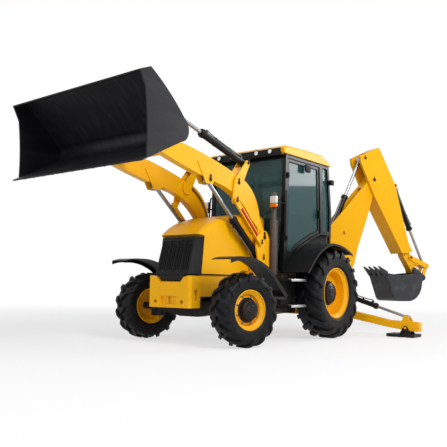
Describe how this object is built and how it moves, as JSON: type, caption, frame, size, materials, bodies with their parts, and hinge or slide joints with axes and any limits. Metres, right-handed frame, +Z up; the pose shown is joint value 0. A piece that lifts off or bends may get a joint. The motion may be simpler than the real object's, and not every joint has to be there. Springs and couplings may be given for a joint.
{
  "type": "backhoe loader",
  "caption": "Four-wheeled digger with a raised front loader bucket, a cab with two doors, and a folding rear digging arm swung to one side between two stabiliser legs.",
  "frame": {"origin": "on the ground, under the middle of the whole machine's overall box", "axes": "+X forward to the loader bucket, +Y to the machine's left, +Z up"},
  "size_m": [8.1067, 3.95, 3.5014],
  "materials": {
    "yellow_paint": "glossy loader yellow",
    "black_paint": "satin black",
    "bucket_paint": "worn dark grey",
    "black_plastic": "moulded black",
    "seat_fabric": "woven",
    "chrome": "polished rod",
    "glass": "clear, slightly green",
    "lamp": "clear lens",
    "exhaust_steel": "heat tinted",
    "tyre": "matt rubber"
  },
  "bodies": {
    "chassis": {"main_frame": "yellow_paint", "rear_frame": "yellow_paint", "counterweight": "yellow_paint", "bonnet": "yellow_paint", "radiator_grille": "black_paint", "powertrain": "black_paint", "rear_axle": "yellow_paint", "front_axle": "yellow_paint", "fenders": "black_plastic", "side_tanks": "bucket_paint", "cab_frame": "black_paint", "cab_floor": "black_plastic", "cab_roof": "yellow_paint", "cab_glass": "glass", "seat": "seat_fabric", "cab_controls": "black_plastic", "exhaust_stack": "exhaust_steel", "work_lamps": "lamp"},
    "steer_left": {"knuckle_left": "yellow_paint"},
    "wheel_front_left": {"tyre_front_left": "tyre", "rim_front_left": "yellow_paint"},
    "wheel_rear_left": {"tyre_rear_left": "tyre", "rim_rear_left": "yellow_paint"},
    "door_left": {"door_left": "black_paint", "door_glass_left": "glass"},
    "steer_right": {"knuckle_right": "yellow_paint"},
    "wheel_front_right": {"tyre_front_right": "tyre", "rim_front_right": "yellow_paint"},
    "wheel_rear_right": {"tyre_rear_right": "tyre", "rim_rear_right": "yellow_paint"},
    "door_right": {"door_right": "black_paint", "door_glass_right": "glass"},
    "loader_arms": {"loader_arms": "yellow_paint"},
    "tilt_levers": {"tilt_levers": "yellow_paint"},
    "level_links": {"level_links": "yellow_paint"},
    "lift_barrels": {"lift_barrels": "black_paint"},
    "lift_rods": {"lift_rods": "chrome"},
    "tilt_barrels": {"tilt_barrels": "black_paint"},
    "tilt_rods": {"tilt_rods": "chrome"},
    "loader_bucket": {"loader_bucket": "bucket_paint"},
    "kingpost": {"kingpost": "yellow_paint"},
    "boom": {"boom": "yellow_paint"},
    "boom_barrel": {"boom_barrel": "black_paint"},
    "boom_rod": {"boom_rod": "chrome"},
    "dipper": {"dipper": "yellow_paint"},
    "dipper_barrel": {"dipper_barrel": "black_paint"},
    "dipper_rod": {"dipper_rod": "chrome"},
    "bucket_barrel": {"bucket_barrel": "black_paint"},
    "bucket_rod": {"bucket_rod": "chrome"},
    "tipping_lever": {"tipping_lever": "yellow_paint"},
    "tipping_link": {"tipping_link": "yellow_paint"},
    "backhoe_bucket": {"backhoe_bucket": "bucket_paint"},
    "stabiliser_leg_left": {"stabiliser_leg_left": "yellow_paint"},
    "stabiliser_barrel_left": {"stabiliser_barrel_left": "black_paint"},
    "stabiliser_rod_left": {"stabiliser_rod_left": "chrome"},
    "stabiliser_pad_left": {"stabiliser_pad_left": "black_paint"},
    "stabiliser_leg_right": {"stabiliser_leg_right": "yellow_paint"},
    "stabiliser_barrel_right": {"stabiliser_barrel_right": "black_paint"},
    "stabiliser_rod_right": {"stabiliser_rod_right": "chrome"},
    "stabiliser_pad_right": {"stabiliser_pad_right": "black_paint"}
  },
  "joints": [
    {"name": "steer_left", "type": "hinge", "parent": "chassis", "child": "steer_left", "pos_m": [1.82, 0.72, 0.484], "axis": [0, 0, 1], "range_deg": [-30, 54]},
    {"name": "wheel_front_left_spin", "type": "hinge", "parent": "steer_left", "child": "wheel_front_left", "pos_m": [1.86574, 0.93519, 0.484], "axis": [0.2079, 0.9781, 0], "continuous": true},
    {"name": "wheel_rear_left_spin", "type": "hinge", "parent": "chassis", "child": "wheel_rear_left", "pos_m": [-0.35, 0.905, 0.7], "axis": [0, 1, 0], "continuous": true},
    {"name": "steer_right", "type": "hinge", "parent": "chassis", "child": "steer_right", "pos_m": [1.82, -0.72, 0.484], "axis": [0, 0, 1], "range_deg": [-30, 54]},
    {"name": "wheel_front_right_spin", "type": "hinge", "parent": "steer_right", "child": "wheel_front_right", "pos_m": [1.77426, -0.93519, 0.484], "axis": [0.2079, 0.9781, 0], "continuous": true},
    {"name": "wheel_rear_right_spin", "type": "hinge", "parent": "chassis", "child": "wheel_rear_right", "pos_m": [-0.35, -0.905, 0.7], "axis": [0, 1, 0], "continuous": true},
    {"name": "door_left_hinge", "type": "hinge", "parent": "chassis", "child": "door_left", "pos_m": [0.555, 0.738, 1.235], "axis": [0.0351, 0, -0.9994], "range_deg": [0, 85]},
    {"name": "door_right_hinge", "type": "hinge", "parent": "chassis", "child": "door_right", "pos_m": [0.555, -0.738, 1.235], "axis": [-0.0351, 0, 0.9994], "range_deg": [0, 85]},
    {"name": "loader_lift", "type": "hinge", "parent": "chassis", "child": "loader_arms", "pos_m": [0.9, 0, 1.505], "axis": [0, 1, 0], "range_deg": [-26.6, 52.8]},
    {"name": "loader_tilt", "type": "hinge", "parent": "loader_arms", "child": "loader_bucket", "pos_m": [3.13, 0, 2.53], "axis": [0, -1, 0], "range_deg": [-18, 63]},
    {"name": "tilt_lever_pivot", "type": "hinge", "parent": "loader_arms", "child": "tilt_levers", "pos_m": [1.53, 0, 2.232], "axis": [0, 1, 0], "range_deg": [-25.64, 13.12]},
    {"name": "level_link_pivot", "type": "hinge", "parent": "chassis", "child": "level_links", "pos_m": [1.025, 0, 1.415], "axis": [0, 1, 0], "range_deg": [-30.51, 60.17]},
    {"name": "lift_barrel_pivot", "type": "hinge", "parent": "chassis", "child": "lift_barrels", "pos_m": [0.918, 0, 1.197], "axis": [0, 1, 0], "range_deg": [-24.9, 49.04]},
    {"name": "lift_rod_slide", "type": "slide", "parent": "lift_barrels", "child": "lift_rods", "axis": [0.7715, 0, 0.6362], "range_m": [-0.2502, 0.1275]},
    {"name": "tilt_barrel_pivot", "type": "hinge", "parent": "tilt_levers", "child": "tilt_barrels", "pos_m": [1.316, 0, 2.545], "axis": [0, 1, 0], "range_deg": [-11.75, 22.92]},
    {"name": "tilt_rod_slide", "type": "slide", "parent": "tilt_barrels", "child": "tilt_rods", "axis": [0.9614, 0, 0.2752], "range_m": [-0.5852, 0.1693]},
    {"name": "swing", "type": "hinge", "parent": "chassis", "child": "kingpost", "pos_m": [-1.71, 0, 0.64], "axis": [0, 0, 1], "range_deg": [-65, 115]},
    {"name": "boom_lift", "type": "hinge", "parent": "kingpost", "child": "boom", "pos_m": [-1.93658, 0.10565, 0.8], "axis": [-0.4226, -0.9063, 0], "range_deg": [-10, 85]},
    {"name": "dipper_crowd", "type": "hinge", "parent": "boom", "child": "dipper", "pos_m": [-2.74682, 0.48348, 2.86], "axis": [0.4226, 0.9063, 0], "range_deg": [-5, 95]},
    {"name": "backhoe_bucket_curl", "type": "hinge", "parent": "dipper", "child": "backhoe_bucket", "pos_m": [-3.69935, 0.92765, 1.139], "axis": [0.4226, 0.9063, 0], "range_deg": [-15, 80]},
    {"name": "boom_barrel_pivot", "type": "hinge", "parent": "kingpost", "child": "boom_barrel", "pos_m": [-1.67375, -0.0169, 1.062], "axis": [-0.4226, -0.9063, 0], "range_deg": [-9.14, 74.67]},
    {"name": "boom_rod_slide", "type": "slide", "parent": "boom_barrel", "child": "boom_rod", "axis": [-0.5083, 0.237, 0.8279], "range_m": [-0.0618, 0.5031]},
    {"name": "dipper_barrel_pivot", "type": "hinge", "parent": "boom", "child": "dipper_barrel", "pos_m": [-1.87767, 0.07818, 1.725], "axis": [0.4226, 0.9063, 0], "range_deg": [-1.7, 0.47]},
    {"name": "dipper_rod_slide", "type": "slide", "parent": "dipper_barrel", "child": "dipper_rod", "axis": [-0.3934, 0.1834, 0.9009], "range_m": [-0.6797, 0.0386]},
    {"name": "tipping_lever_pivot", "type": "hinge", "parent": "dipper", "child": "tipping_lever", "pos_m": [-3.61053, 0.88623, 1.39], "axis": [0.4226, 0.9063, 0], "range_deg": [-9.08, 46.68]},
    {"name": "tipping_link_pivot", "type": "hinge", "parent": "tipping_lever", "child": "tipping_link", "pos_m": [-3.99208, 1.06415, 1.236], "axis": [0.4226, 0.9063, 0], "range_deg": [-48.51, 9.42]},
    {"name": "bucket_barrel_pivot", "type": "hinge", "parent": "dipper", "child": "bucket_barrel", "pos_m": [-3.29151, 0.73747, 2.8], "axis": [0.4226, 0.9063, 0], "range_deg": [-1.58, 6.68]},
    {"name": "bucket_rod_slide", "type": "slide", "parent": "bucket_barrel", "child": "bucket_rod", "axis": [-0.4016, 0.1873, -0.8965], "range_m": [-0.3096, 0.0605]},
    {"name": "stabiliser_left", "type": "hinge", "parent": "chassis", "child": "stabiliser_leg_left", "pos_m": [-1.45, 0.5, 0.385], "axis": [1, 0, 0], "range_deg": [-6, 72]},
    {"name": "stabiliser_barrel_left_pivot", "type": "hinge", "parent": "chassis", "child": "stabiliser_barrel_left", "pos_m": [-1.45, 0.4, 0.735], "axis": [1, 0, 0], "range_deg": [-6.42, 72.59]},
    {"name": "stabiliser_rod_left_slide", "type": "slide", "parent": "stabiliser_barrel_left", "child": "stabiliser_rod_left", "axis": [0, 0.957, -0.29], "range_m": [-0.4447, 0.0398]},
    {"name": "stabiliser_pad_left_pivot", "type": "hinge", "parent": "stabiliser_leg_left", "child": "stabiliser_pad_left", "pos_m": [-1.45, 1.76, 0.152], "axis": [1, 0, 0], "range_deg": [-12, 8]},
    {"name": "stabiliser_right", "type": "hinge", "parent": "chassis", "child": "stabiliser_leg_right", "pos_m": [-1.45, -0.5, 0.385], "axis": [-1, 0, 0], "range_deg": [-6, 72]},
    {"name": "stabiliser_barrel_right_pivot", "type": "hinge", "parent": "chassis", "child": "stabiliser_barrel_right", "pos_m": [-1.45, -0.4, 0.735], "axis": [-1, 0, 0], "range_deg": [-6.42, 72.59]},
    {"name": "stabiliser_rod_right_slide", "type": "slide", "parent": "stabiliser_barrel_right", "child": "stabiliser_rod_right", "axis": [0, -0.957, -0.29], "range_m": [-0.4447, 0.0398]},
    {"name": "stabiliser_pad_right_pivot", "type": "hinge", "parent": "stabiliser_leg_right", "child": "stabiliser_pad_right", "pos_m": [-1.45, -1.76, 0.152], "axis": [-1, 0, 0], "range_deg": [-12, 8]}
  ],
  "couplings": [
    {"joint": "steer_right", "follows": "steer_left", "ratio": 1},
    {"joint": "tilt_lever_pivot", "follows": "loader_lift", "ratio": -0.47802},
    {"joint": "level_link_pivot", "follows": "loader_lift", "ratio": 1.132},
    {"joint": "lift_barrel_pivot", "follows": "loader_lift", "ratio": 0.92117},
    {"joint": "lift_rod_slide", "follows": "loader_lift", "m_per_rad": -0.26827},
    {"joint": "tilt_barrel_pivot", "follows": "loader_lift", "ratio": 0.42653},
    {"joint": "tilt_rod_slide", "follows": "loader_tilt", "m_per_rad": -0.5295},
    {"joint": "boom_barrel_pivot", "follows": "boom_lift", "ratio": 0.87372},
    {"joint": "boom_rod_slide", "follows": "boom_lift", "m_per_rad": 0.33708},
    {"joint": "dipper_barrel_pivot", "follows": "dipper_crowd", "ratio": -0.01368},
    {"joint": "dipper_rod_slide", "follows": "dipper_crowd", "m_per_rad": -0.40813},
    {"joint": "tipping_lever_pivot", "follows": "backhoe_bucket_curl", "ratio": 0.57855},
    {"joint": "tipping_link_pivot", "follows": "backhoe_bucket_curl", "ratio": -0.60143},
    {"joint": "bucket_barrel_pivot", "follows": "backhoe_bucket_curl", "ratio": 0.07856},
    {"joint": "bucket_rod_slide", "follows": "backhoe_bucket_curl", "m_per_rad": -0.21956},
    {"joint": "stabiliser_barrel_left_pivot", "follows": "stabiliser_left", "ratio": 1.0026},
    {"joint": "stabiliser_rod_left_slide", "follows": "stabiliser_left", "m_per_rad": -0.35153},
    {"joint": "stabiliser_barrel_right_pivot", "follows": "stabiliser_right", "ratio": 1.0026},
    {"joint": "stabiliser_rod_right_slide", "follows": "stabiliser_right", "m_per_rad": -0.35153}
  ]
}
